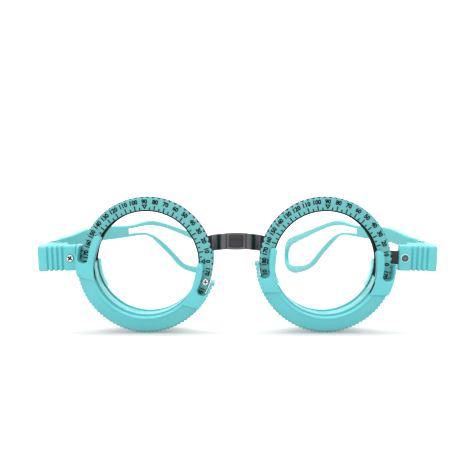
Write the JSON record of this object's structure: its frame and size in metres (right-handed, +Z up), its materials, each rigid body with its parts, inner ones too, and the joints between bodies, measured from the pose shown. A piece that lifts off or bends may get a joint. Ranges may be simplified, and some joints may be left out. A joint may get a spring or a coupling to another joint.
{
  "type": "optical trial frame",
  "caption": "Optical trial frame: graduated dials with turning front lens holders, rear lens cells, a bent bridge strip and looped temples hinged on ribbed end blocks.",
  "frame": {"origin": "on the surface that the rims stand on, under the middle of the frame's box", "axes": "+Z up, +Y from the dials back along the temples, +X to the right seen from the front"},
  "size_m": [0.1404, 0.1412, 0.0473],
  "materials": {
    "teal_plastic": "moulded satin gloss",
    "dial_plastic": "moulded satin gloss with printed scale",
    "temple_plastic": "soft flexible plastic",
    "black_metal": "black",
    "bridge_metal": "gunmetal",
    "chrome_screw": "polished",
    "grey_pin": "dull"
  },
  "bodies": {
    "front": {"dial_left": "dial_plastic", "dial_right": "dial_plastic", "dial_screw_left_inner": "chrome_screw", "dial_screw_left_outer": "chrome_screw", "dial_screw_right_inner": "chrome_screw", "dial_screw_right_outer": "chrome_screw", "chassis_left": "black_metal", "chassis_right": "black_metal", "rear_cell_left": "teal_plastic", "rear_cell_right": "teal_plastic", "bridge_strip": "bridge_metal", "bridge_plate": "bridge_metal", "bridge_rivet_left_low": "black_metal", "bridge_rivet_left_high": "black_metal", "bridge_rivet_right_low": "black_metal", "bridge_rivet_right_high": "black_metal", "end_block_left": "teal_plastic", "end_block_right": "teal_plastic", "block_screw_left": "chrome_screw", "block_pin_right": "grey_pin", "hinge_pin_left": "chrome_screw", "hinge_pin_right": "chrome_screw"},
    "holder_left": {"front_holder_left": "teal_plastic", "carrier_ring_left": "black_metal"},
    "holder_right": {"front_holder_right": "teal_plastic", "carrier_ring_right": "black_metal"},
    "temple_left": {"temple_left": "temple_plastic"},
    "temple_right": {"temple_right": "temple_plastic"}
  },
  "joints": [
    {"name": "holder_left_turn", "type": "hinge", "parent": "front", "child": "holder_left", "pos_m": [-0.0315, -0.06672, 0.02429], "axis": [0, 1, 0], "continuous": true},
    {"name": "holder_right_turn", "type": "hinge", "parent": "front", "child": "holder_right", "pos_m": [0.0305, -0.06672, 0.02429], "axis": [0, 1, 0], "continuous": true},
    {"name": "temple_left_swing", "type": "hinge", "parent": "front", "child": "temple_left", "pos_m": [-0.06779, -0.05157, 0.02334], "axis": [-0.0262, 0, 0.9997], "range_deg": [-3.1, 34.9]},
    {"name": "temple_right_swing", "type": "hinge", "parent": "front", "child": "temple_right", "pos_m": [0.06779, -0.05157, 0.02332], "axis": [0.0262, 0, 0.9997], "range_deg": [-28.4, 9.6]}
  ]
}
